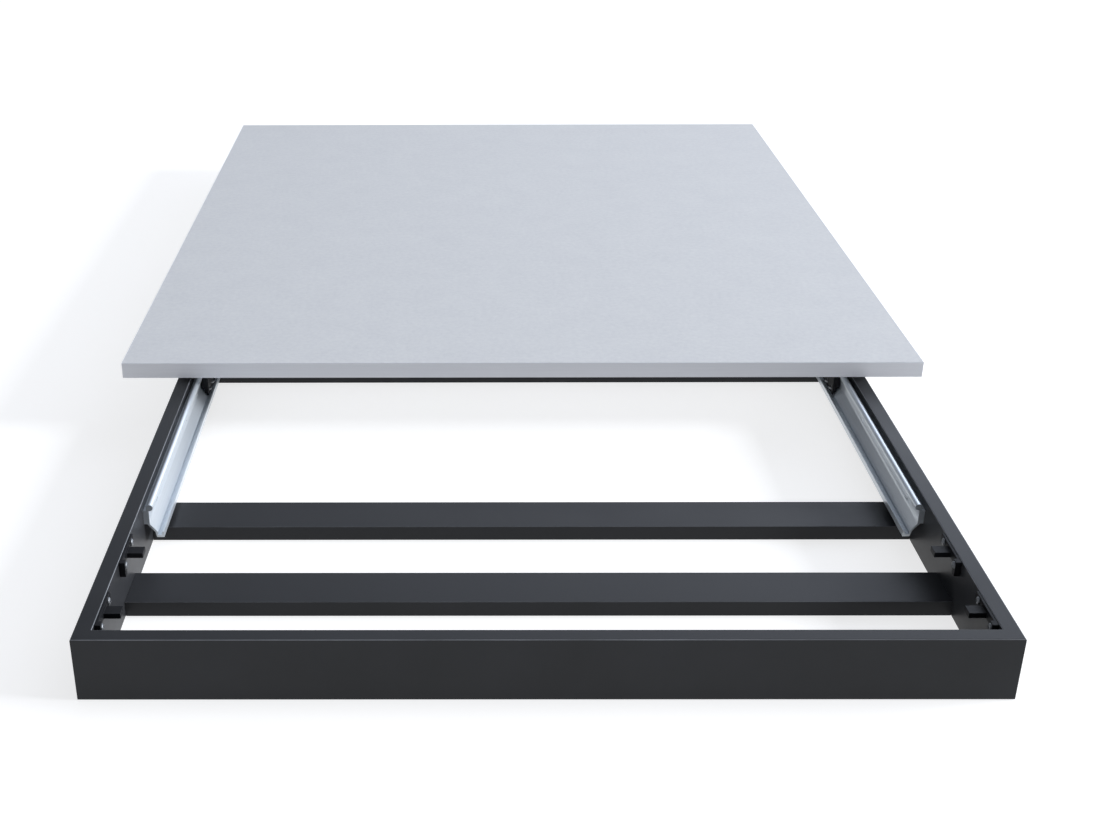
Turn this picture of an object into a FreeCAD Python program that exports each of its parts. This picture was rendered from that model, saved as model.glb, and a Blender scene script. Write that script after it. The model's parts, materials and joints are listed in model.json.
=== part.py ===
import FreeCAD, Part
import os

os.makedirs("parts", exist_ok=True)
doc = FreeCAD.newDocument("ExtendingTable")

# Driving sizes in millimetres. X runs across the table, +Y runs from the open front of the
# frame to the back, and Z runs up from the underside of the frame.
SIZES = {
    "top_width": 900,            # board across the table
    "top_length": 1045,          # board from front edge to back edge
    "core_thickness": 16.4,      # particle board between the two laminate sheets
    "laminate_thickness": 0.8,
    "edge_band": 1,              # thickness of the band glued to each board edge
    "side_overhang": 60,         # board past the frame on the left and right
    "end_overhang": 15,          # board past the frame at both ends when closed
    "top_gap": 5,                # board underside above the frame
    "frame_height": 60,
    "tube_thickness": 15,
    "tube_wall": 1.5,
    "tube_edge_radius": 1,
    "bar_width": 50,             # flat tubes across the bottom of the frame
    "bar_height": 15,
    "bar_first": 125,            # front faces of the cross bars behind the frame front
    "bar_second": 260,
    "bar_third": 329,            # back face of the third bar ahead of the frame back
    "guide_start": 229,          # front end of the aluminium guides behind the frame front
    "guide_lift": 7,             # underside of the guides above the cross bars
    "guide_reach": 18.3,         # how far a guide stands in from the rail
    "guide_pad": 3,              # mounting ridge between the rail and the guide web
    "guide_web": 2.5,
    "guide_lip": 6,              # height of the lower lip, floor included
    "lip_thickness": 1.9,
    "guide_groove": 4.1,         # open groove between the sloping wall and the lip
    "groove_wall_foot": 1,       # width of the groove's outer wall at the guide's underside
    "shoulder_share": 0.36,      # where the web bends inward, as a share of the way from lip to bead
    "bead_radius": 3.3,
    "bead_inset": 6.5,           # bead axis in from the rail
    "bead_drop": 6,              # bead axis below the frame top
    "slide_wall": 2.5,
    "slide_inset": 7.8,          # outer edge of the slide's fin in from the rail
    "slide_depth": 4.8,          # fin and web of a slide together
    "slide_lift": 3.3,           # lower edge of a slide above the guide's lip
    "slide_clearance": 0.5,      # between a slide's fin and the bead above it
    "shoe_clearance": 0.2,
    "shoe_wall": 3,
    "shoe_cheek": 2,             # inner cheek of a shoe, screwed to the slide
    "shoe_length": 60,
    "shoe_screw_margin": 8,      # first shoe screw from the outer end of its shoe
    "shoe_screw_pitch": 19,
    "end_clearance": 2,          # left between a sliding end and the frame at full travel
    "tab_reach": 17,             # hold-down tabs in from the rail
    "tab_length": 12,
    "tab_setback": 23,           # tab behind the clip's front end
    "tab_thickness": 5,
    "tab_clearance": 0.4,        # under the tabs, above the passing slide
    "clip_strip": 2.5,           # thickness of the clip against the rail
    "clip_length": 52,
    "clip_screw_margin": 8.5,    # rear clip screw from the clip's rear end
    "clip_foot": 7,              # width of the foot that hangs down at the clip's front
    "clip_foot_depth": 5.5,      # thickness of the foot, rail to inner face
    "clip_foot_height": 14.5,
    "clip_start": 22,            # front end of the first clip behind the frame front
    "clip_pitch": 98,            # from one clip to the next along the rail
    "clip_drop": 0.8,            # clip top below the frame top
    "bracket_thickness": 2.5,
    "bracket_length": 60,
    "bracket_flange": 25,
    "bracket_setback": 160,      # first bracket behind the slide's front end
    "bracket_rear": 24,          # last bracket ahead of the slide's back end
    "screw_radius": 2,
    "screw_clearance": 0.3,
    "screw_head_radius": 3.4,
    "screw_crown_radius": 2.2,   # flat crown of the tapered screw heads
    "screw_head_height": 2,
    "screw_bite": 12,            # wood screws into the board
    "screw_tip": 2,              # rail screws past the inside of the tube wall
    "rivet_margin": 40,          # first and last guide rivet from the guide's ends
    "leg_plate": 76,
    "leg_plate_thickness": 6,
    "leg_hole_radius": 5.25,
    "pad_length": 40,
    "pad_width": 11,
    "pad_clearance": 0.2,
}

sheet = doc.addObject("Spreadsheet::Sheet", "Dims")
for row, (alias, value) in enumerate(SIZES.items(), start=1):
    sheet.set("A%d" % row, alias)
    sheet.set("B%d" % row, str(value))
    sheet.setAlias("B%d" % row, alias)
doc.recompute()

# Lengths and places that several pieces share, written once as expressions.
FRAME_WIDTH = "(Dims.top_width - 2 * Dims.side_overhang)"
FRAME_LENGTH = "(Dims.top_length - 2 * Dims.end_overhang)"
OPEN_TRAVEL = "(Dims.top_length / 2)"
TOP_SETBACK = "(%s - Dims.end_overhang)" % OPEN_TRAVEL
FRONT = "(-(%s + Dims.top_length) / 2)" % TOP_SETBACK
INNER_X = "(%s / 2 - Dims.tube_thickness)" % FRAME_WIDTH
INNER_WIDTH = "(2 * %s)" % INNER_X
REAR_INNER = "(%s + %s - Dims.tube_thickness)" % (FRONT, FRAME_LENGTH)
BOARD_FRONT = "(%s + %s)" % (FRONT, TOP_SETBACK)
BOARD_LOW = "(Dims.frame_height + Dims.top_gap)"
BOARD_THICKNESS = "(Dims.core_thickness + 2 * Dims.laminate_thickness)"

GUIDE_LOW = "(Dims.bar_height + Dims.guide_lift)"
GUIDE_FRONT = "(%s + Dims.guide_start)" % FRONT
GUIDE_LENGTH = "(%s - Dims.guide_start - Dims.tube_thickness)" % FRAME_LENGTH
BEAD_HEIGHT = "(Dims.frame_height - Dims.bead_drop)"
BEAD_LOW = "(%s - Dims.bead_radius)" % BEAD_HEIGHT
LIP_TOP = "(%s + Dims.guide_lip)" % GUIDE_LOW
GROOVE_IN = "(Dims.guide_reach - Dims.lip_thickness - Dims.guide_groove)"
GUIDE_SHOULDER = "(%s + Dims.shoulder_share * (%s - %s))" % (LIP_TOP, BEAD_LOW, LIP_TOP)
RIVET_LEVEL = "((%s + %s) / 2)" % (GUIDE_SHOULDER, BEAD_LOW)
SLIDE_LOW = "(%s + Dims.slide_lift)" % LIP_TOP
SLIDE_HIGH = "(%s - Dims.slide_clearance)" % BEAD_LOW
SLIDE_HEIGHT = "(%s - %s)" % (SLIDE_HIGH, SLIDE_LOW)
SCREW_LEVEL = "((%s + %s) / 2)" % (SLIDE_LOW, SLIDE_HIGH)
SLIDE_FRONT = "(%s + Dims.tube_thickness + Dims.end_clearance + %s)" % (FRONT, OPEN_TRAVEL)
SLIDE_BACK = "(%s - Dims.end_clearance)" % REAR_INNER
WEB_IN = "(Dims.slide_inset + Dims.slide_depth)"
HOLE_RADIUS = "(Dims.screw_radius + Dims.screw_clearance)"
HEAD_ROOM = "(Dims.screw_head_height + Dims.screw_clearance)"
PAST = "1"    # how far a hole cutter runs past each face, in millimetres
GUIDE_RIVET_COUNT = 5

SIDES = {"left": -1, "right": 1}
ALONG_X = FreeCAD.Rotation(FreeCAD.Vector(0, 1, 0), 90)
ALONG_Y = FreeCAD.Rotation(FreeCAD.Vector(1, 0, 0), -90)
UPRIGHT = FreeCAD.Rotation()
made = []


def place(piece, x, y, z, turn=UPRIGHT):
    piece.Placement = FreeCAD.Placement(FreeCAD.Vector(), turn)
    for axis, value in zip("xyz", (x, y, z)):
        piece.setExpression("Placement.Base." + axis, value)
    return piece


def box(name, x, y, z, size_x, size_y, size_z):
    piece = doc.addObject("Part::Box", name)
    for side, value in zip(("Length", "Width", "Height"), (size_x, size_y, size_z)):
        piece.setExpression(side, value)
    return place(piece, x, y, z)


def rod(name, x, y, z, radius, length, turn):
    piece = doc.addObject("Part::Cylinder", name)
    piece.setExpression("Radius", radius)
    piece.setExpression("Height", length)
    return place(piece, x, y, z, turn)


def taper(name, x, y, z, low_radius, high_radius, turn):
    """Screw head between two radii, the low one at the place given."""
    piece = doc.addObject("Part::Cone", name)
    piece.setExpression("Radius1", low_radius)
    piece.setExpression("Radius2", high_radius)
    piece.setExpression("Height", "Dims.screw_head_height")
    return place(piece, x, y, z, turn)


def fuse(name, pieces):
    joined = doc.addObject("Part::MultiFuse", name)
    joined.Shapes = pieces
    joined.Refine = True
    return joined


def cut(name, base, tools):
    tool = tools[0] if len(tools) == 1 else fuse(name + "_tools", tools)
    result = doc.addObject("Part::Cut", name)
    result.Base = base
    result.Tool = tool
    return result


def group(name, pieces):
    bundle = doc.addObject("Part::Compound", name)
    bundle.Links = pieces
    return bundle


def keep(piece, label):
    piece.Label = label
    made.append(piece)
    return piece


def inward(side, offset, depth):
    """Low X of a piece that starts offset in from a rail's inner face and is depth wide."""
    if SIDES[side] < 0:
        return "-%s + %s" % (INNER_X, offset)
    return "%s - (%s) - (%s)" % (INNER_X, offset, depth)


def side_box(name, side, offset, depth, y, z, size_y, size_z):
    return box(name, inward(side, offset, depth), y, z, depth, size_y, size_z)


def side_rod(name, side, offset, depth, y, z, radius):
    """Round bar across the table, starting offset in from a rail's inner face."""
    return rod(name, inward(side, offset, depth), y, z, radius, depth, ALONG_X)


def side_hole(name, side, offset, depth, y, z):
    """Screw hole cutter through a wall that starts offset in from a rail's inner face."""
    return side_rod(name, side, "%s - %s" % (offset, PAST), "%s + 2 * %s" % (depth, PAST), y, z, HOLE_RADIUS)


def side_screw(name, side, seat, depth, y, z):
    """Pan-head screw or rivet whose head sits seat in from the rail and whose shank points to the rail."""
    shank = side_rod(name + "_shank", side, "%s - (%s)" % (seat, depth), depth, y, z, "Dims.screw_radius")
    radii = ["Dims.screw_head_radius", "Dims.screw_crown_radius"][::-SIDES[side]]
    head = taper(name + "_head", inward(side, seat, "Dims.screw_head_height"), y, z, *radii, ALONG_X)
    return fuse(name, [shank, head])


def spread(first, last, count):
    """Evenly spaced places from the first to the last expression."""
    return ["(%s + (%s - %s) * %d / %d)" % (first, last, first, step, count - 1) for step in range(count)]


# Mitred outer frame, four hollow tubes with eased long edges.
def mitred_bar(name, length, inset):
    """Bar along X with 45 degree ends, its outer face at Y = 0, shrunk by inset all round."""
    bar = doc.addObject("Part::Wedge", name)
    near = "%s / 2 - (%s)" % (length, inset)
    far = "%s / 2 - Dims.tube_thickness + (%s)" % (length, inset)
    values = {
        "Xmin": "-(%s)" % near, "Xmax": near, "X2min": "-(%s)" % far, "X2max": far,
        "Ymin": inset, "Ymax": "Dims.tube_thickness - (%s)" % inset,
        "Zmin": inset, "Zmax": "Dims.frame_height - (%s)" % inset,
        "Z2min": inset, "Z2max": "Dims.frame_height - (%s)" % inset,
    }
    for field, value in values.items():
        bar.setExpression(field, value)
    return bar


def eased(name, base):
    """The bar with its four long edges rounded."""
    doc.recompute()
    result = doc.addObject("Part::Fillet", name)
    result.Base = base
    radius = sheet.tube_edge_radius
    edges = []
    for number, edge in enumerate(base.Shape.Edges, start=1):
        ends = [vertex.Point for vertex in edge.Vertexes]
        if abs(ends[0].x - ends[1].x) > base.Shape.BoundBox.XLength / 2:
            edges.append((number, radius, radius))
    result.Edges = edges
    return result


def frame_tube(name, length, x, y, degrees, holes=()):
    outside = eased(name + "_outside", mitred_bar(name + "_bar", length, "0"))
    inside = mitred_bar(name + "_hollow", length, "Dims.tube_wall")
    tube = cut(name + "_tube", outside, [inside])
    turn = FreeCAD.Rotation(FreeCAD.Vector(0, 0, 1), degrees)
    place(tube, x, y, "0", turn)
    if not holes:
        return keep(tube, name)
    return keep(cut(name, tube, list(holes)), name)


clip_fronts = ["%s + Dims.clip_start + %d * Dims.clip_pitch" % (FRONT, step) for step in range(2)]
CLIP_TOP = "(Dims.frame_height - Dims.clip_drop)"
TAB_LOW = "(%s + Dims.tab_clearance)" % SLIDE_HIGH
CLIP_SCREW_LEVEL = "((%s + %s) / 2)" % (CLIP_TOP, TAB_LOW)
clip_screw_seats = {"front": "Dims.clip_foot_depth", "rear": "Dims.clip_strip"}
clip_screw_places = {front: {"front": "%s + Dims.clip_foot / 2" % front,
                             "rear": "%s + Dims.clip_length - Dims.clip_screw_margin" % front}
                     for front in clip_fronts}
guide_rivet_places = spread("(%s + Dims.rivet_margin)" % GUIDE_FRONT, "(%s - Dims.rivet_margin)" % REAR_INNER,
                            GUIDE_RIVET_COUNT)
GUIDE_SEAT = "(Dims.guide_pad + Dims.guide_web)"
RAIL_BITE = "(Dims.tube_wall + Dims.screw_tip)"

frame_tube("front_apron", FRAME_WIDTH, "0", FRONT, 0)
frame_tube("rear_apron", FRAME_WIDTH, "0", "%s + %s" % (FRONT, FRAME_LENGTH), 180)
for side, sign in SIDES.items():
    holes = []
    for number, y in enumerate(guide_rivet_places):
        holes.append(side_hole("%s_rail_guide_hole_%d" % (side, number), side, "-" + RAIL_BITE, RAIL_BITE, y,
                               RIVET_LEVEL))
    for number, places in enumerate(clip_screw_places.values()):
        for kind, y in places.items():
            holes.append(side_hole("%s_rail_clip_%d_%s_hole" % (side, number, kind), side, "-" + RAIL_BITE,
                                   RAIL_BITE, y, CLIP_SCREW_LEVEL))
    frame_tube(side + "_rail", FRAME_LENGTH, "%d * %s / 2" % (sign, FRAME_WIDTH),
               "%s + %s / 2" % (FRONT, FRAME_LENGTH), 90 * sign, holes)

# Four flat cross tubes, flush with the underside of the frame.
bar_places = {
    "first": "Dims.bar_first",
    "second": "Dims.bar_second",
    "third": "%s - Dims.bar_third - Dims.bar_width" % FRAME_LENGTH,
    "fourth": "%s - Dims.bar_first - Dims.bar_width" % FRAME_LENGTH,
}
for order, setback in bar_places.items():
    name = order + "_cross_bar"
    y = "%s + %s" % (FRONT, setback)
    outside = box(name + "_outside", "-" + INNER_X, y, "0", INNER_WIDTH, "Dims.bar_width", "Dims.bar_height")
    inside = box(name + "_hollow", "-" + INNER_X, y + " + Dims.tube_wall", "Dims.tube_wall", INNER_WIDTH,
                 "Dims.bar_width - 2 * Dims.tube_wall", "Dims.bar_height - 2 * Dims.tube_wall")
    keep(cut(name, outside, [inside]), name)

# Corner plates under the frame, each with one hole for a leg bolt.
for side, sign in SIDES.items():
    for end in ("front", "rear"):
        name = "%s_%s_leg_plate" % (side, end)
        if end == "front":
            y = "%s + Dims.tube_thickness" % FRONT
        else:
            y = "%s - Dims.leg_plate" % REAR_INNER
        plate = side_box(name + "_blank", side, "0", "Dims.leg_plate", y, "0", "Dims.leg_plate",
                         "Dims.leg_plate_thickness")
        hole = rod(name + "_hole", "%s + Dims.leg_plate / 2" % inward(side, "0", "Dims.leg_plate"),
                   y + " + Dims.leg_plate / 2", "-" + PAST, "Dims.leg_hole_radius",
                   "Dims.leg_plate_thickness + 2 * " + PAST, UPRIGHT)
        keep(cut(name, plate, [hole]), name)

# Aluminium guides along the rails: ridge against the rail, web, running bead, sloping wall, groove and lip.
def sloped_wall(name, side, top, foot, high, low):
    """Wall along a guide whose section changes from one span at its top to another at its foot. Each span is
    given as its distance in from the rail and its depth."""
    wall = doc.addObject("Part::Wedge", name)
    spans = {"X": top, "X2": foot}
    for field, (offset, depth) in spans.items():
        near = inward(side, offset, depth)
        wall.setExpression(field + "min", near)
        wall.setExpression(field + "max", "%s + %s" % (near, depth))
    wall.setExpression("Ymin", "-%s" % high)
    wall.setExpression("Ymax", "-%s" % low)
    wall.Zmin = 0
    wall.Z2min = 0
    for field in ("Zmax", "Z2max"):
        wall.setExpression(field, GUIDE_LENGTH)
    return place(wall, "0", GUIDE_FRONT, "0", ALONG_Y)


groove_edge = ("(%s - Dims.guide_web)" % GROOVE_IN, "Dims.guide_web")
groove_foot = ("(%s - Dims.groove_wall_foot)" % GROOVE_IN, "Dims.groove_wall_foot")
guide_rivets = []
for side in SIDES:
    name = side + "_guide"
    # Flat walls of the section: distance in from the rail, depth, underside and height of each.
    walls = {
        "ridge": ("0", "Dims.guide_pad", GUIDE_SHOULDER, "%s - %s" % (BEAD_LOW, GUIDE_SHOULDER)),
        "web": ("Dims.guide_pad", "Dims.guide_web", GUIDE_SHOULDER,
                "%s - %s" % (BEAD_HEIGHT, GUIDE_SHOULDER)),
        "floor": (groove_foot[0], "Dims.guide_reach - %s" % groove_foot[0], GUIDE_LOW, "Dims.guide_web"),
        "lip": ("Dims.guide_reach - Dims.lip_thickness", "Dims.lip_thickness", GUIDE_LOW, "Dims.guide_lip"),
    }
    section = [rod(name + "_bead", inward(side, "Dims.bead_inset", "0"), GUIDE_FRONT, BEAD_HEIGHT,
                   "Dims.bead_radius", GUIDE_LENGTH, ALONG_Y),
               sloped_wall(name + "_slope", side, ("Dims.guide_pad", "Dims.guide_web"), groove_edge,
                           GUIDE_SHOULDER, LIP_TOP),
               sloped_wall(name + "_groove_wall", side, groove_edge, groove_foot, LIP_TOP, GUIDE_LOW)]
    for wall, (offset, depth, low, height) in walls.items():
        section.append(side_box("%s_%s" % (name, wall), side, offset, depth, GUIDE_FRONT, low, GUIDE_LENGTH,
                                height))
    profile = fuse(name + "_profile", section)
    holes = []
    for number, y in enumerate(guide_rivet_places):
        holes.append(side_hole("%s_hole_%d" % (name, number), side, "0", GUIDE_SEAT, y, RIVET_LEVEL))
        guide_rivets.append(side_screw("%s_rivet_%d" % (name, number), side, GUIDE_SEAT,
                                       "%s + %s" % (GUIDE_SEAT, RAIL_BITE), y, RIVET_LEVEL))
    keep(cut(name, profile, holes), name)
keep(group("guide_rivets", guide_rivets), "guide_rivets")

# Hold-down clips ahead of the guides: thin strip on the rail, foot at the front, tab over the slide.
clip_screws = []
for side in SIDES:
    for end, front in zip(("front", "rear"), clip_fronts):
        name = "%s_%s_clip" % (side, end)
        strip = side_box(name + "_strip", side, "0", "Dims.clip_strip", front, TAB_LOW, "Dims.clip_length",
                         "%s - %s" % (CLIP_TOP, TAB_LOW))
        foot = side_box(name + "_foot", side, "0", "Dims.clip_foot_depth", front,
                        "%s - Dims.clip_foot_height" % CLIP_TOP, "Dims.clip_foot", "Dims.clip_foot_height")
        tab = side_box(name + "_tab", side, "0", "Dims.tab_reach", "%s + Dims.tab_setback" % front, TAB_LOW,
                       "Dims.tab_length", "Dims.tab_thickness")
        holes = []
        for kind, y in clip_screw_places[front].items():
            seat = clip_screw_seats[kind]
            holes.append(side_hole("%s_%s_hole" % (name, kind), side, "0", seat, y, CLIP_SCREW_LEVEL))
            clip_screws.append(side_screw("%s_%s_screw" % (name, kind), side, seat,
                                          "%s + %s" % (seat, RAIL_BITE), y, CLIP_SCREW_LEVEL))
        keep(cut(name, fuse(name + "_blank", [strip, foot, tab]), holes), name)
keep(group("clip_screws", clip_screws), "clip_screws")

# Wear pads on the back of the frame, just under the passing board.
rear_pads = []
for side, sign in SIDES.items():
    rear_pads.append(box(side + "_rear_pad", "%d * %s / 3 - Dims.pad_length / 2" % (sign, INNER_WIDTH),
                         "%s + (Dims.tube_thickness - Dims.pad_width) / 2" % REAR_INNER, "Dims.frame_height",
                         "Dims.pad_length", "Dims.pad_width", "Dims.top_gap - Dims.pad_clearance"))
keep(group("rear_wear_pads", rear_pads), "rear_wear_pads")

# Sliding half of the runners: angle with its fin under the bead, a shoe at each end.
slide_bracket_screws = []
shoe_screws = []
board_screws = []
board_holes = []
backing_holes = []
SLIDE_LENGTH = "(%s - %s - 2 * Dims.shoe_wall)" % (SLIDE_BACK, SLIDE_FRONT)
SHOE_SCREW_LEVEL = "(%s + 2 * Dims.screw_head_radius)" % LIP_TOP
bracket_fronts = {
    "front": "(%s + Dims.bracket_setback)" % SLIDE_FRONT,
    "rear": "(%s - Dims.bracket_rear - Dims.shoe_length - Dims.bracket_length)" % SLIDE_BACK,
}
BRACKET_LOW = "(%s + Dims.slide_wall)" % SLIDE_LOW
FLANGE_IN = "(%s + Dims.bracket_thickness)" % WEB_IN
for side in SIDES:
    name = side + "_slide"
    y = "%s + Dims.shoe_wall" % SLIDE_FRONT
    web = side_box(name + "_web", side, "%s - Dims.slide_wall" % WEB_IN, "Dims.slide_wall", y, SLIDE_LOW,
                   SLIDE_LENGTH, SLIDE_HEIGHT)
    fin = side_box(name + "_fin", side, "Dims.slide_inset", "Dims.slide_depth", y,
                   "%s - Dims.slide_wall" % SLIDE_HIGH, SLIDE_LENGTH, "Dims.slide_wall")
    angle = fuse(name + "_angle", [web, fin])
    slide_holes = []

    for end in ("front", "rear"):
        shoe = "%s_%s_shoe" % (side, end)
        if end == "front":
            wall_y = SLIDE_FRONT
            cheek_y = SLIDE_FRONT
            screw_places = ["%s + Dims.shoe_screw_margin" % SLIDE_FRONT,
                            "%s + Dims.shoe_screw_margin + Dims.shoe_screw_pitch" % SLIDE_FRONT]
        else:
            wall_y = "%s - Dims.shoe_wall" % SLIDE_BACK
            cheek_y = "%s - Dims.shoe_length" % SLIDE_BACK
            screw_places = ["%s - Dims.shoe_screw_margin" % SLIDE_BACK,
                            "%s - Dims.shoe_screw_margin - Dims.shoe_screw_pitch" % SLIDE_BACK]
        shoe_low = "%s + Dims.shoe_clearance" % LIP_TOP
        shoe_top = "(%s - Dims.shoe_clearance)" % BEAD_LOW
        end_walls = []
        for kind, wall_in, wall_low in (("wall", "(%s + %s)" % (GUIDE_SEAT, HEAD_ROOM), GUIDE_SHOULDER),
                                        ("wall_foot", "(%s - Dims.slide_wall)" % WEB_IN, SLIDE_LOW)):
            end_walls.append(side_box("%s_%s" % (shoe, kind), side, wall_in,
                                      "%s + Dims.shoe_cheek - %s" % (WEB_IN, wall_in), wall_y, wall_low,
                                      "Dims.shoe_wall", "%s - %s" % (shoe_top, wall_low)))
        cheek = side_box(shoe + "_cheek", side, WEB_IN, "Dims.shoe_cheek", cheek_y, shoe_low,
                         "Dims.shoe_length", "%s - (%s)" % (shoe_top, shoe_low))
        shoe_holes = []
        for number, screw_y in enumerate(screw_places):
            tag = "%s_screw_%d" % (shoe, number)
            shoe_holes.append(side_hole(tag + "_shoe_hole", side, WEB_IN, "Dims.shoe_cheek", screw_y,
                                        SHOE_SCREW_LEVEL))
            slide_holes.append(side_hole(tag + "_slide_hole", side, "%s - Dims.slide_wall" % WEB_IN,
                                         "Dims.slide_wall", screw_y, SHOE_SCREW_LEVEL))
            shoe_screws.append(side_screw(tag, side, "(%s + Dims.shoe_cheek)" % WEB_IN,
                                          "Dims.shoe_cheek + Dims.slide_wall", screw_y, SHOE_SCREW_LEVEL))
        keep(cut(shoe, fuse(shoe + "_blank", end_walls + [cheek]), shoe_holes), shoe)

    # Angle brackets that hang the slide under the board.
    for end, bracket_y in bracket_fronts.items():
        bracket = "%s_%s_bracket" % (side, end)
        upright = side_box(bracket + "_upright", side, WEB_IN, "Dims.bracket_thickness", bracket_y,
                           BRACKET_LOW, "Dims.bracket_length", "%s - %s" % (BOARD_LOW, BRACKET_LOW))
        flange = side_box(bracket + "_flange", side, WEB_IN, "Dims.bracket_thickness + Dims.bracket_flange",
                          bracket_y, "%s - Dims.bracket_thickness" % BOARD_LOW, "Dims.bracket_length",
                          "Dims.bracket_thickness")
        bracket_holes = []
        for step in (1, 3):
            screw_y = "%s + %d * Dims.bracket_length / 4" % (bracket_y, step)
            tag = "%s_screw_%d" % (bracket, step)
            bracket_holes.append(side_hole(tag + "_upright_hole", side, WEB_IN, "Dims.bracket_thickness",
                                           screw_y, SCREW_LEVEL))
            slide_holes.append(side_hole(tag + "_slide_hole", side, "%s - Dims.slide_wall" % WEB_IN,
                                         "Dims.slide_wall", screw_y, SCREW_LEVEL))
            slide_bracket_screws.append(side_screw(tag, side, FLANGE_IN,
                                                   "Dims.bracket_thickness + Dims.slide_wall", screw_y,
                                                   SCREW_LEVEL))
            screw_x = inward(side, "%s + Dims.bracket_flange / 2" % FLANGE_IN, "0")
            flange_low = "%s - Dims.bracket_thickness" % BOARD_LOW
            through_flange = "Dims.bracket_thickness + %s" % PAST
            through_backing = "Dims.laminate_thickness + %s" % PAST
            into_board = "Dims.screw_bite + Dims.screw_clearance"
            for kind, holes, low, depth in (("flange", bracket_holes, flange_low, through_flange),
                                            ("backing", backing_holes, BOARD_LOW, through_backing),
                                            ("board", board_holes, BOARD_LOW, into_board)):
                holes.append(rod("%s_%s_hole" % (tag, kind), screw_x, screw_y, "%s - %s" % (low, PAST),
                                 HOLE_RADIUS, "%s + %s" % (depth, PAST), UPRIGHT))
            shank = rod(tag + "_wood_shank", screw_x, screw_y, flange_low, "Dims.screw_radius",
                        "Dims.bracket_thickness + Dims.screw_bite", UPRIGHT)
            head = taper(tag + "_wood_head", screw_x, screw_y, "%s - Dims.screw_head_height" % flange_low,
                         "Dims.screw_crown_radius", "Dims.screw_head_radius", UPRIGHT)
            board_screws.append(fuse(tag + "_wood", [shank, head]))
        keep(cut(bracket, fuse(bracket + "_blank", [upright, flange]), bracket_holes), bracket)
    keep(cut(name, angle, slide_holes), name)
keep(group("shoe_screws", shoe_screws), "shoe_screws")
keep(group("slide_bracket_screws", slide_bracket_screws), "slide_bracket_screws")
keep(group("board_screws", board_screws), "board_screws")

# The board: particle board core, laminate above and below, a band on each edge.
CORE_WIDTH = "(Dims.top_width - 2 * Dims.edge_band)"
CORE_LENGTH = "(Dims.top_length - 2 * Dims.edge_band)"
CORE_FRONT = "%s + Dims.edge_band" % BOARD_FRONT
core = box("core_blank", "-%s / 2" % CORE_WIDTH, CORE_FRONT, "%s + Dims.laminate_thickness" % BOARD_LOW,
           CORE_WIDTH, CORE_LENGTH, "Dims.core_thickness")
keep(cut("board_core", core, board_holes), "board_core")
backing = box("backing_blank", "-%s / 2" % CORE_WIDTH, CORE_FRONT, BOARD_LOW, CORE_WIDTH, CORE_LENGTH,
              "Dims.laminate_thickness")
keep(cut("backing_laminate", backing, backing_holes), "backing_laminate")
keep(box("top_laminate", "-%s / 2" % CORE_WIDTH, CORE_FRONT,
         "%s + Dims.laminate_thickness + Dims.core_thickness" % BOARD_LOW, CORE_WIDTH, CORE_LENGTH,
         "Dims.laminate_thickness"), "top_laminate")
for end, y in (("front", BOARD_FRONT), ("rear", "%s + Dims.top_length - Dims.edge_band" % BOARD_FRONT)):
    keep(box(end + "_edge_band", "-Dims.top_width / 2", y, BOARD_LOW, "Dims.top_width", "Dims.edge_band",
             BOARD_THICKNESS), end + "_edge_band")
for side, sign in SIDES.items():
    x = "%d * (Dims.top_width - Dims.edge_band) / 2 - Dims.edge_band / 2" % sign
    keep(box(side + "_edge_band", x, CORE_FRONT, BOARD_LOW, "Dims.edge_band", CORE_LENGTH, BOARD_THICKNESS),
         side + "_edge_band")

# Wear pads under the board that run along the top of the rails.
board_pads = []
for side, sign in SIDES.items():
    for number, setback in enumerate(("Dims.pad_length", "%s - %s - 2 * Dims.pad_length"
                                      % (FRAME_LENGTH, TOP_SETBACK))):
        x = "%d * (%s / 2 - Dims.tube_thickness / 2) - Dims.pad_width / 2" % (sign, FRAME_WIDTH)
        board_pads.append(box("%s_board_pad_%d" % (side, number), x, "%s + %s" % (BOARD_FRONT, setback),
                              "Dims.frame_height + Dims.pad_clearance", "Dims.pad_width", "Dims.pad_length",
                              "Dims.top_gap - Dims.pad_clearance"))
keep(group("board_wear_pads", board_pads), "board_wear_pads")

doc.recompute()
for item in doc.Objects:
    if "Invalid" in item.State or "Error" in item.State:
        raise RuntimeError("%s did not compute: %s" % (item.Name, item.State))
for piece in made:
    if piece.Shape.isNull() or not piece.Shape.isValid():
        raise RuntimeError("%s has no valid shape" % piece.Label)
    piece.Shape.exportStep("parts/%s.step" % piece.Label)
print("wrote %d pieces" % len(made))
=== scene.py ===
import json
import math

import bmesh
import bpy
from mathutils import Matrix, Vector


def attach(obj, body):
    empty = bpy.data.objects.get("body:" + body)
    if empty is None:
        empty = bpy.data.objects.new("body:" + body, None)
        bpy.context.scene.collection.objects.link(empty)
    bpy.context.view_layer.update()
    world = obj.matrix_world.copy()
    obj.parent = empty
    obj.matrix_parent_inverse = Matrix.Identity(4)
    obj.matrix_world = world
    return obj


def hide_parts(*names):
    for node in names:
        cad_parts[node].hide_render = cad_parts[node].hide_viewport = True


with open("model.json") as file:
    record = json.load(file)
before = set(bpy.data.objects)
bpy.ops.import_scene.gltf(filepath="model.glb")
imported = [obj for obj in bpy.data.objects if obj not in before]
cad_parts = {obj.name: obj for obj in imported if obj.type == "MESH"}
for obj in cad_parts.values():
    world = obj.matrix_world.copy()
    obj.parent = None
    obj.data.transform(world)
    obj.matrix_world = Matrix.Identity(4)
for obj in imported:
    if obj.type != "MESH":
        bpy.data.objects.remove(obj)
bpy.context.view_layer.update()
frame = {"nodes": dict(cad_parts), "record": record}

# An extending table: a laminated board that slides along a low steel frame. Lengths are in metres.
MM = 0.001
MERGE_GAP = 0.002 * MM          # corners nearer to each other than this are one
NODES = frame["nodes"]
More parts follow.
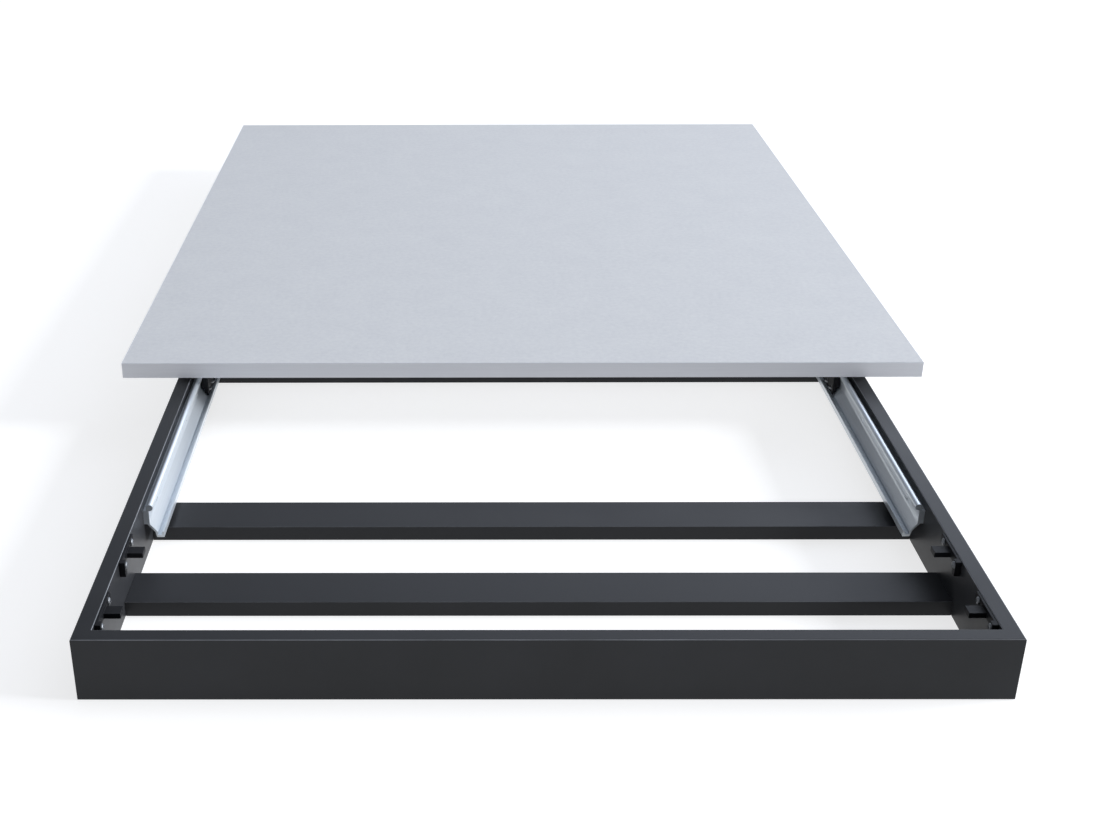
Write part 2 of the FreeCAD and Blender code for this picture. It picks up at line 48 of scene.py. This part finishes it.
SCREW_GROUPS = {"clip_screws": "frame", "shoe_screws": "top", "slide_bracket_screws": "top",
                "board_screws": "top"}
RIVET_GROUP = "guide_rivets"


# Shader helpers

def srgb(code):
    """Linear red, green, blue and alpha of an sRGB hex value."""
    shares = [int(code[start:start + 2], 16) / 255 for start in (1, 3, 5)]
    return [s / 12.92 if s <= 0.04045 else ((s + 0.055) / 1.055) ** 2.4 for s in shares] + [1.0]


def per_metre(size_mm):
    """Pattern scale that gives features of that many millimetres."""
    return 1 / (size_mm * MM)


def find_socket(sockets, name):
    """The socket with that identifier or, failing that, that name."""
    return next((s for s in sockets if s.identifier == name), None) or sockets[name]


def link(tree, node, links):
    """Join inputs of a node to outputs of others, given as {input: (source, output)}."""
    for name, (source, output) in links.items():
        tree.links.new(find_socket(source.outputs, output), find_socket(node.inputs, name))


def add_node(tree, kind, settings=None, values=None, links=None):
    """Add one node with its properties, its input values and its links."""
    node = tree.nodes.new("ShaderNode" + kind)
    for name, value in (settings or {}).items():
        setattr(node, name, value)
    for name, value in (values or {}).items():
        find_socket(node.inputs, name).default_value = value
    link(tree, node, links or {})
    return node


def new_finish(name, values):
    """A material with its shader, the shader's constant values and object coordinates in metres."""
    material = bpy.data.materials.new(name)
    material.use_nodes = True
    tree = material.node_tree
    shader = tree.nodes["Principled BSDF"]
    for socket, value in values.items():
        shader.inputs[socket].default_value = value
    return material, tree, shader, add_node(tree, "TexCoord")


# Finishes

def powder_coat():
    """Polyester powder baked on steel, anthracite: a satin skin. Fine orange peel breaks up its highlights,
    and cloudy patches of thicker film change its sheen a little. Along rounded corners, where no axis is
    square to the surface, a painted highlight makes the colour paler, mottled by the same film patches."""
    material, tree, shader, place = new_finish("anthracite_powder_coat",
                                               {"IOR": 1.5, "Specular IOR Level": 0.14})
    peel = add_node(tree, "TexNoise", values={"Scale": per_metre(2.2), "Detail": 3.0},
                    links={"Vector": (place, "Object")})
    film = add_node(tree, "TexNoise", values={"Scale": per_metre(110), "Detail": 4.0, "Roughness": 0.6},
                    links={"Vector": (place, "Object")})
    body = add_node(tree, "Mix", {"data_type": "RGBA"},
                    {"A_Color": srgb("#272829"), "B_Color": srgb("#313235")},
                    {"Factor_Float": (film, "Fac")})
    facing = add_node(tree, "VectorMath", {"operation": "ABSOLUTE"}, links={"Vector": (place, "Normal")})
    parts = add_node(tree, "SeparateXYZ", links={"Vector": (facing, "Vector")})
    sideways = add_node(tree, "Math", {"operation": "MAXIMUM"},
                        links={"Value": (parts, "X"), "Value_001": (parts, "Y")})
    squarest = add_node(tree, "Math", {"operation": "MAXIMUM"},
                        links={"Value": (sideways, "Value"), "Value_001": (parts, "Z")})
    # Painted highlight: rounded corners, where the normal is far from every axis, are mixed towards a pale
    # grey
    corner = add_node(tree, "MapRange",
                      values={"From Min": 0.8, "From Max": 0.97, "To Min": 1.0, "To Max": 0.0},
                      links={"Value": (squarest, "Value")})
    wear_and_edge_highlight = add_node(tree, "Math", {"operation": "MULTIPLY"},
                      links={"Value": (corner, "Result"), "Value_001": (film, "Fac")})
    tone = add_node(tree, "Mix", {"data_type": "RGBA"}, {"B_Color": srgb("#a3a6ab")},
                    {"Factor_Float": (wear_and_edge_highlight, "Value"), "A_Color": (body, "Result_Color")})
    sheen = add_node(tree, "MapRange",
                     values={"From Min": 0.3, "From Max": 0.7, "To Min": 0.32, "To Max": 0.42},
                     links={"Value": (film, "Fac")})
    skin = add_node(tree, "Bump", values={"Strength": 0.35, "Distance": 0.06 * MM},
                    links={"Height": (peel, "Fac")})
    link(tree, shader, {"Base Color": (tone, "Result_Color"), "Roughness": (sheen, "Result"),
                        "Normal": (skin, "Normal")})
    return material


def anodised_aluminium():
    """Aluminium pressed through a die, then clear anodised: pale satin metal with fine lines along its
    length. The oxide film scatters part of the light, so it is less than fully metallic. The lines are drawn
    about 0.8 mm apart, coarser than real die lines, so that they show."""
    material, tree, shader, place = new_finish("anodised_aluminium", {"Metallic": 0.6})
    along = add_node(tree, "Mapping", values={"Scale": (per_metre(0.8), per_metre(250), per_metre(0.8))},
                     links={"Vector": (place, "Object")})
    lines = add_node(tree, "TexNoise", values={"Scale": 1.0, "Detail": 3.0, "Roughness": 0.65},
                     links={"Vector": (along, "Vector")})
    tone = add_node(tree, "Mix", {"data_type": "RGBA"},
                    {"A_Color": srgb("#c6cdd3"), "B_Color": srgb("#d5dbe0")},
                    {"Factor_Float": (lines, "Fac")})
    sheen = add_node(tree, "MapRange",
                     values={"From Min": 0.3, "From Max": 0.7, "To Min": 0.28, "To Max": 0.34},
                     links={"Value": (lines, "Fac")})
    grooves = add_node(tree, "Bump", values={"Strength": 0.08, "Distance": 0.02 * MM},
                       links={"Height": (lines, "Fac")})
    link(tree, shader, {"Base Color": (tone, "Result_Color"), "Roughness": (sheen, "Result"),
                        "Normal": (grooves, "Normal")})
    return material


def black_coated_steel():
    """Formed steel strip with a thin black electro-coat: darker and a little glossier than the frame, with
    paler rubbed patches."""
    material, tree, shader, place = new_finish("black_coated_steel", {"IOR": 1.5})
    rub = add_node(tree, "TexNoise", values={"Scale": per_metre(9), "Detail": 5.0, "Roughness": 0.7},
                   links={"Vector": (place, "Object")})
    grit = add_node(tree, "TexNoise", values={"Scale": per_metre(0.8), "Detail": 2.0},
                    links={"Vector": (place, "Object")})
    wear_and_edge_highlight = add_node(tree, "MapRange", values={"From Min": 0.55, "From Max": 0.75},
                      links={"Value": (rub, "Fac")})
    tone = add_node(tree, "Mix", {"data_type": "RGBA"},
                    {"A_Color": srgb("#151618"), "B_Color": srgb("#2e3033")},
                    {"Factor_Float": (wear_and_edge_highlight, "Result")})
    sheen = add_node(tree, "MapRange", values={"To Min": 0.34, "To Max": 0.5},
                     links={"Value": (rub, "Fac")})
    skin = add_node(tree, "Bump", values={"Strength": 0.3, "Distance": 0.03 * MM},
                    links={"Height": (grit, "Fac")})
    link(tree, shader, {"Base Color": (tone, "Result_Color"), "Roughness": (sheen, "Result"),
                        "Normal": (skin, "Normal")})
    return material


def moulded_nylon():
    """Black nylon moulded in an eroded tool: a dull, finely grained plastic with faint flow streaks."""
    material, tree, shader, place = new_finish("moulded_black_nylon",
                                               {"IOR": 1.53, "Specular IOR Level": 0.12})
    grain = add_node(tree, "TexNoise", values={"Scale": per_metre(0.7), "Detail": 2.0},
                     links={"Vector": (place, "Object")})
    stretch = add_node(tree, "Mapping", values={"Scale": (per_metre(6), per_metre(30), per_metre(6))},
                       links={"Vector": (place, "Object")})
    flow = add_node(tree, "TexNoise", values={"Scale": 1.0, "Detail": 3.0},
                    links={"Vector": (stretch, "Vector")})
    tone = add_node(tree, "Mix", {"data_type": "RGBA"},
                    {"A_Color": srgb("#101113"), "B_Color": srgb("#1b1c1f")},
                    {"Factor_Float": (flow, "Fac")})
    sheen = add_node(tree, "MapRange", values={"To Min": 0.48, "To Max": 0.62},
                     links={"Value": (flow, "Fac")})
    skin = add_node(tree, "Bump", values={"Strength": 0.4, "Distance": 0.04 * MM},
                    links={"Height": (grain, "Fac")})
    link(tree, shader, {"Base Color": (tone, "Result_Color"), "Roughness": (sheen, "Result"),
                        "Normal": (skin, "Normal")})
    return material


def zinc_plate():
    """Zinc plating on steel screws, gone dull: a cool metal with clouded patches from the bath."""
    material, tree, shader, place = new_finish("dull_zinc_plate", {"Metallic": 1.0})
    cloud = add_node(tree, "TexNoise", values={"Scale": per_metre(2.5), "Detail": 4.0},
                     links={"Vector": (place, "Object")})
    tone = add_node(tree, "Mix", {"data_type": "RGBA"},
                    {"A_Color": srgb("#66696d"), "B_Color": srgb("#929496")},
                    {"Factor_Float": (cloud, "Fac")})
    sheen = add_node(tree, "MapRange", values={"To Min": 0.4, "To Max": 0.56},
                     links={"Value": (cloud, "Fac")})
    link(tree, shader, {"Base Color": (tone, "Result_Color"), "Roughness": (sheen, "Result")})
    return material


def pressed_laminate(name, dark, pale, fleck_share):
    """Melamine paper pressed on the board: pale blue-grey with faint flecks, and a fine stipple left by the
    press plate that keeps the sheen soft."""
    material, tree, shader, place = new_finish(name, {"IOR": 1.5, "Specular IOR Level": 0.1})
    fleck = add_node(tree, "TexNoise", values={"Scale": per_metre(6), "Detail": 5.0, "Roughness": 0.7},
                     links={"Vector": (place, "Object")})
    cloud = add_node(tree, "TexNoise", values={"Scale": per_metre(45), "Detail": 3.0},
                     links={"Vector": (place, "Object")})
    stipple = add_node(tree, "TexNoise", values={"Scale": per_metre(1.4), "Detail": 2.0},
                       links={"Vector": (place, "Object")})
    mixed = add_node(tree, "Mix", {"data_type": "FLOAT"}, {"Factor_Float": fleck_share},
                     {"A_Float": (cloud, "Fac"), "B_Float": (fleck, "Fac")})
    spread = add_node(tree, "MapRange", values={"From Min": 0.3, "From Max": 0.7},
                      links={"Value": (mixed, "Result_Float")})
    tone = add_node(tree, "Mix", {"data_type": "RGBA"}, {"A_Color": srgb(dark), "B_Color": srgb(pale)},
                    {"Factor_Float": (spread, "Result")})
    sheen = add_node(tree, "MapRange", values={"To Min": 0.5, "To Max": 0.62},
                     links={"Value": (fleck, "Fac")})
    skin = add_node(tree, "Bump", values={"Strength": 0.25, "Distance": 0.04 * MM},
                    links={"Height": (stipple, "Fac")})
    link(tree, shader, {"Base Color": (tone, "Result_Color"), "Roughness": (sheen, "Result"),
                        "Normal": (skin, "Normal")})
    return material


def edge_band():
    """ABS band glued round the board: the laminate's grey, a little paler, with fine scraper marks along each
    edge."""
    material, tree, shader, place = new_finish("grey_abs_edge_band", {"IOR": 1.53})
    along = add_node(tree, "Mapping", values={"Scale": (per_metre(40), per_metre(40), per_metre(1.2))},
                     links={"Vector": (place, "Object")})
    marks = add_node(tree, "TexNoise", values={"Scale": 1.0, "Detail": 4.0, "Roughness": 0.6},
                     links={"Vector": (along, "Vector")})
    tone = add_node(tree, "Mix", {"data_type": "RGBA"},
                    {"A_Color": srgb("#ced0d6"), "B_Color": srgb("#d9dbe0")},
                    {"Factor_Float": (marks, "Fac")})
    sheen = add_node(tree, "MapRange", values={"To Min": 0.42, "To Max": 0.58},
                     links={"Value": (marks, "Fac")})
    skin = add_node(tree, "Bump", values={"Strength": 0.15, "Distance": 0.03 * MM},
                    links={"Height": (marks, "Fac")})
    link(tree, shader, {"Base Color": (tone, "Result_Color"), "Roughness": (sheen, "Result"),
                        "Normal": (skin, "Normal")})
    return material


def raw_particle_board():
    """Pressed wood chips, sanded and uncoated: straw to brown chips a few millimetres across, quite
    matt."""
    material, tree, shader, place = new_finish("raw_particle_board", {"IOR": 1.5})
    chips = add_node(tree, "TexVoronoi", values={"Scale": per_metre(3), "Randomness": 1.0},
                     links={"Vector": (place, "Object")})
    tone = add_node(tree, "Mix", {"data_type": "RGBA"},
                    {"A_Color": srgb("#a98a5e"), "B_Color": srgb("#d8bd90")},
                    {"Factor_Float": (chips, "Color")})
    sheen = add_node(tree, "MapRange", values={"To Min": 0.75, "To Max": 0.9},
                     links={"Value": (chips, "Distance")})
    skin = add_node(tree, "Bump", values={"Strength": 0.4, "Distance": 0.1 * MM},
                    links={"Height": (chips, "Distance")})
    link(tree, shader, {"Base Color": (tone, "Result_Color"), "Roughness": (sheen, "Result"),
                        "Normal": (skin, "Normal")})
    return material


def pale_floor():
    """Opal acrylic floor of a product studio, matt, with very faint clouding. It is lit from below, so that
    shadows on it stay pale."""
    material, tree, shader, place = new_finish("opal_acrylic_floor",
                                               {"IOR": 1.5, "Emission Strength": 0.72,
                                                "Emission Color": srgb("#ffffff")})
    cloud = add_node(tree, "TexNoise", values={"Scale": per_metre(400), "Detail": 3.0},
                     links={"Vector": (place, "Object")})
    tone = add_node(tree, "Mix", {"data_type": "RGBA"},
                    {"A_Color": srgb("#aaabac"), "B_Color": srgb("#b3b3b3")},
                    {"Factor_Float": (cloud, "Fac")})
    sheen = add_node(tree, "MapRange", values={"To Min": 0.8, "To Max": 0.9},
                     links={"Value": (cloud, "Fac")})
    link(tree, shader, {"Base Color": (tone, "Result_Color"), "Roughness": (sheen, "Result")})
    return material


FINISHES = {
    "powder_coated_steel": powder_coat(),
    "aluminium": anodised_aluminium(),
    "black_steel": black_coated_steel(),
    "black_nylon": moulded_nylon(),
    "zinc_plated_steel": zinc_plate(),
    "grey_laminate": pressed_laminate("pale_grey_laminate", dark="#c8c9cb", pale="#d4d5d5", fleck_share=0.75),
    "backing_laminate": pressed_laminate("plain_backing_laminate", dark="#b9bcc2", pale="#c4c7cc",
                                         fleck_share=0.25),
    "grey_edge_band": edge_band(),
    "particle_board": raw_particle_board(),
}


# CAD pieces take their finish, and their sharp edges are broken a little

EDGE_BREAKS = {"powder_coated_steel": 0.3 * MM, "aluminium": 0.15 * MM, "black_steel": 0.3 * MM,
               "black_nylon": 0.4 * MM, "grey_edge_band": 0.2 * MM}
BREAK_STEPS = 2
SHARP_EDGE = math.radians(40)   # edges that turn by more than this are broken
FORMED_TUBES = ("front_apron", "rear_apron", "left_rail", "right_rail")  # rounded in the CAD already


def finish_pieces():
    """Give each CAD piece the finish of its slot, and break its edges by modifiers."""
    for subpart in frame["record"]["subparts"]:
        piece = NODES[subpart["node"]]
        slot = subpart["material_slot"]
        piece.data.materials.clear()
        piece.data.materials.append(FINISHES[slot])
        if slot in EDGE_BREAKS and subpart["node"] not in FORMED_TUBES:
            weld = piece.modifiers.new("joined_corners", "WELD")
            weld.merge_threshold = MERGE_GAP
            bevel = piece.modifiers.new("broken_edges", "BEVEL")
            bevel.width = EDGE_BREAKS[slot]
            bevel.segments = BREAK_STEPS
            bevel.limit_method = "ANGLE"
            bevel.angle_limit = SHARP_EDGE
            piece.modifiers.new("even_shading", "WEIGHTED_NORMAL")


# Screws with a cross recess, and blind rivets

HEAD_RIM = 0.5 * MM             # straight rim under the domed head
RECESS_SPAN = 3.6 * MM
RECESS_WIDTH = 1.1 * MM
RECESS_DEPTH = 1.3 * MM
RECESS_TAPER = 0.55             # width and span at the bottom of the recess, as a share of the top
RECESS_TURN = math.radians(17)  # as the driver left it
RIVET_RIM = 0.1 * MM
RIVET_HEAD = 0.6 * MM           # height of a rivet's flat dome
RIVET_BORE = 1.1 * MM           # radius of the hole that the mandrel leaves
TURN_STEPS = 32
DOME_STEPS = 5
TIP_SHARE = 0.6                 # radius at a screw's tip, as a share of its shank
NEAR_SHARE = 0.98               # corners this far out belong to the rim or the tip of a CAD fastener
SMOOTH_TURN = math.radians(35)  # faces of a fastener that meet at less than this are shaded as one


def loose_solids(mesh):
    """Corner points of each separate solid in a mesh."""
    work = bmesh.new()
    work.from_mesh(mesh)
    bmesh.ops.remove_doubles(work, verts=work.verts, dist=MERGE_GAP)
    waiting = set(work.verts)
    solids = []
    while waiting:
        edge_of_search = [waiting.pop()]
        found = []
        while edge_of_search:
            corner = edge_of_search.pop()
            found.append(corner.co.copy())
            for edge in corner.link_edges:
                other = edge.other_vert(corner)
                if other in waiting:
                    waiting.remove(other)
                    edge_of_search.append(other)
        solids.append(found)
    work.free()
    return solids


def measure_screw(corners):
    """Seat point, outward direction, head radius, head height, shank length and shank radius of one CAD screw
    or rivet."""
    low = Vector([min(c[i] for c in corners) for i in range(3)])
    high = Vector([max(c[i] for c in corners) for i in range(3)])
    size = high - low
    long_way = max(range(3), key=lambda i: size[i])
    middle = (low + high) / 2
    axis = Vector([float(i == long_way) for i in range(3)])

    def off_axis(corner):
        arm = corner - middle
        return (arm - axis * arm.dot(axis)).length

    widest = max(off_axis(c) for c in corners)
    rim = [c for c in corners if off_axis(c) > NEAR_SHARE * widest]
    seat = sum((c - middle).dot(axis) for c in rim) / len(rim)
    outward = axis if seat > 0 else -axis
    half = size[long_way] / 2
    tip = [off_axis(c) for c in corners if (c - middle).dot(outward) < -NEAR_SHARE * half]
    return (middle + axis * seat, outward, widest, half - abs(seat), half + abs(seat), max(tip))


def lathe(profile):
    """Turn a profile of (radius, height) points, both ends on the axis, into a closed mesh."""
    work = bmesh.new()
    corners = [work.verts.new((radius, 0, height)) for radius, height in profile]
    edges = [work.edges.new(pair) for pair in zip(corners, corners[1:])]
    bmesh.ops.spin(work, geom=corners + edges, axis=(0, 0, 1), cent=(0, 0, 0), angle=math.tau,
                   steps=TURN_STEPS)
    bmesh.ops.remove_doubles(work, verts=work.verts, dist=MERGE_GAP)
    bmesh.ops.recalc_face_normals(work, faces=work.faces)
    mesh = bpy.data.meshes.new("turned")
    work.to_mesh(mesh)
    work.free()
    return mesh


def recess_tool(crown):
    """A tapered cross that reaches from above the crown to the bottom of the recess."""
    half_span = RECESS_SPAN / 2
    half_width = RECESS_WIDTH / 2
    outline = []
    for quarter in range(4):
        turn = Matrix.Rotation(quarter * math.pi / 2 + RECESS_TURN, 2)
        for point in ((half_span, -half_width), (half_span, half_width), (half_width, half_width)):
            outline.append(turn @ Vector(point))
    work = bmesh.new()
    rings = []
    for share, height in ((RECESS_TAPER, crown - RECESS_DEPTH), (1 / RECESS_TAPER, crown + RECESS_DEPTH)):
        rings.append([work.verts.new((point.x * share, point.y * share, height)) for point in outline])
    low, high = rings
    work.faces.new(low)
    work.faces.new(high)
    for number in range(len(outline)):
        work.faces.new((low[number - 1], low[number], high[number], high[number - 1]))
    bmesh.ops.recalc_face_normals(work, faces=work.faces)
    mesh = bpy.data.meshes.new("recess")
    work.to_mesh(mesh)
    work.free()
    return mesh


def dome(radius, rim, crown):
    """Points of a quarter ellipse from the top of a rim towards the crown, short of the axis."""
    turns = [math.pi / 2 * step / DOME_STEPS for step in range(DOME_STEPS)]
    return [(radius * math.cos(turn), rim + (crown - rim) * math.sin(turn)) for turn in turns]


def rivet_mesh(head_radius, head_height, shank_length, shank_radius):
    """One blind rivet along Z with its seat at 0: shank, flat dome and the bore of the snapped mandrel."""
    crown = min(RIVET_HEAD, head_height)
    bore_floor = crown / 3
    rounded = [point for point in dome(head_radius, RIVET_RIM, crown) if point[0] > RIVET_BORE]
    return lathe([(0, -shank_length), (shank_radius, -shank_length), (shank_radius, 0), (head_radius, 0)]
                 + rounded + [(RIVET_BORE, crown), (RIVET_BORE, bore_floor), (0, bore_floor)])


def screw_mesh(head_radius, head_height, shank_length, shank_radius):
    """One screw along Z with its seat at 0: plain shank, straight rim, domed head and cross recess."""
    profile = [(0, -shank_length), (shank_radius * TIP_SHARE, -shank_length),
               (shank_radius, -shank_length + shank_radius), (shank_radius, 0), (head_radius, 0)]
    profile += dome(head_radius, HEAD_RIM, head_height) + [(0, head_height)]
    blank = bpy.data.objects.new("screw_blank", lathe(profile))
    tool = bpy.data.objects.new("recess_tool", recess_tool(head_height))
    for part in (blank, tool):
        bpy.context.scene.collection.objects.link(part)
    drive = blank.modifiers.new("drive", "BOOLEAN")
    drive.object = tool
    drive.solver = "EXACT"
    bpy.context.view_layer.update()
    mesh = bpy.data.meshes.new_from_object(blank.evaluated_get(bpy.context.evaluated_depsgraph_get()))
    for part in (blank, tool):
        bpy.data.objects.remove(part)
    return mesh


def make_fasteners(group, body, name, single_mesh, slot):
    """One piece with all fasteners of a CAD group, each where the CAD has it."""
    work = bmesh.new()
    for corners in loose_solids(NODES[group].data):
        seat, outward, *sizes = measure_screw(corners)
        single = single_mesh(*sizes)
        single.transform(Matrix.Translation(seat) @ outward.to_track_quat("Z", "Y").to_matrix().to_4x4())
        work.from_mesh(single)
        bpy.data.meshes.remove(single)
    mesh = bpy.data.meshes.new(name)
    work.to_mesh(mesh)
    work.free()
    mesh.set_sharp_from_angle(angle=SMOOTH_TURN)
    piece = bpy.data.objects.new(name, mesh)
    bpy.context.scene.collection.objects.link(piece)
    piece.data.materials.append(FINISHES[slot])
    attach(piece, body)
    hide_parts(group)


finish_pieces()
for screw_group, screw_body in SCREW_GROUPS.items():
    make_fasteners(screw_group, screw_body, screw_group + "_crosshead", screw_mesh, "zinc_plated_steel")
make_fasteners(RIVET_GROUP, "frame", RIVET_GROUP + "_domed", rivet_mesh, "aluminium")


# Camera, fitted to the corners of the table in the photograph

IMAGE_WIDTH = 1100              # pixels
FOCAL_LENGTH = 1457.7           # pixels
LENS_AXIS = 449.5               # pixels from the left where the lens axis meets the picture
SENSOR_WIDTH = 36               # millimetres
EYE = Vector((-0.0741, -1.7660, 0.7419))
PITCH = math.radians(25.68)     # downward
YAW = math.radians(-0.29)
ROLL = math.radians(0.2)


def make_camera():
    """A camera with the photograph's place, direction and framing."""
    lens = bpy.data.cameras.new("camera")
    lens.sensor_width = SENSOR_WIDTH
    lens.lens = FOCAL_LENGTH / IMAGE_WIDTH * SENSOR_WIDTH
    lens.shift_x = (IMAGE_WIDTH / 2 - LENS_AXIS) / IMAGE_WIDTH
    ahead = Vector((math.sin(YAW) * math.cos(PITCH), math.cos(YAW) * math.cos(PITCH), -math.sin(PITCH)))
    level = Vector((math.cos(YAW), -math.sin(YAW), 0))
    down = ahead.cross(level)
    right = level * math.cos(ROLL) + down * math.sin(ROLL)
    up = level * math.sin(ROLL) - down * math.cos(ROLL)
    camera = bpy.data.objects.new("camera", lens)
    axes = Matrix((right, up, -ahead)).transposed()
    camera.matrix_world = Matrix.Translation(EYE) @ axes.to_4x4()
    bpy.context.scene.collection.objects.link(camera)
    bpy.context.scene.camera = camera


# Floor and studio light

FLOOR_HALF = 40
FLOOR_CELLS = 40
FLAT_HALF = 12                  # the floor is level out to here and sweeps up beyond
SWEEP_RISE = 5
FLOOR_GAP = 0.2 * MM            # keeps the floor out of the frame's underside
BRIGHT_SIDE = (0.643, 0.766, 0)  # level direction towards the brightest part of the room
BRIGHT_EDGE = 0.46              # cosine of the angle from there at which the room is dim
DIM_ROOM = 0.22
BRIGHT_ROOM = 3.6


def make_floor():
    """A level floor that sweeps up far from the table."""
    work = bmesh.new()
    bmesh.ops.create_grid(work, x_segments=FLOOR_CELLS, y_segments=FLOOR_CELLS, size=FLOOR_HALF)
    for corner in work.verts:
        past = max(0, corner.co.xy.length - FLAT_HALF) / (FLOOR_HALF - FLAT_HALF)
        corner.co.z = SWEEP_RISE * past * past
    mesh = bpy.data.meshes.new("floor")
    work.to_mesh(mesh)
    work.free()
    floor = bpy.data.objects.new("floor", mesh)
    floor.location.z = -FLOOR_GAP
    floor.data.materials.append(pale_floor())
    bpy.context.scene.collection.objects.link(floor)


def soft_box(name, place, aim, width, height, power, tint):
    """A rectangular area light at a place, facing a point."""
    lamp = bpy.data.lights.new(name, "AREA")
    lamp.shape = "RECTANGLE"
    lamp.size = width
    lamp.size_y = height
    lamp.energy = power
    lamp.color = srgb(tint)[:3]
    light = bpy.data.objects.new(name, lamp)
    light.location = place
    light.rotation_euler = (Vector(aim) - Vector(place)).to_track_quat("-Z", "Y").to_euler()
    bpy.context.scene.collection.objects.link(light)


def make_light():
    """A wide window far off on the right, a weak soft box overhead and a room that is dim in front and on the
    left and bright at the back on the right."""
    soft_box("overhead", place=(0.0, -0.1, 2.6), aim=(0.0, -0.1, 0.0), width=3.0, height=3.0, power=7,
             tint="#fbfcff")
    soft_box("right_window", place=(10.9, -0.6, 4.9), aim=(0.0, -0.4, 0.0), width=4.0, height=2.2, power=1750,
             tint="#f6f8fc")
    world = bpy.data.worlds.new("studio")
    bpy.context.scene.world = world
    world.use_nodes = True
    tree = world.node_tree
    place = add_node(tree, "TexCoord")
    along = add_node(tree, "VectorMath", {"operation": "DOT_PRODUCT"}, {"Vector_001": BRIGHT_SIDE},
                     {"Vector": (place, "Generated")})
    grade = add_node(tree, "MapRange",
                     values={"From Min": BRIGHT_EDGE, "To Min": DIM_ROOM, "To Max": BRIGHT_ROOM},
                     links={"Value": (along, "Value")})
    link(tree, tree.nodes["Background"], {"Strength": (grade, "Result")})
    tree.nodes["Background"].inputs["Color"].default_value = srgb("#e0e8f7")
    bpy.context.scene.view_settings.view_transform = "Standard"


make_camera()
make_floor()
make_light()
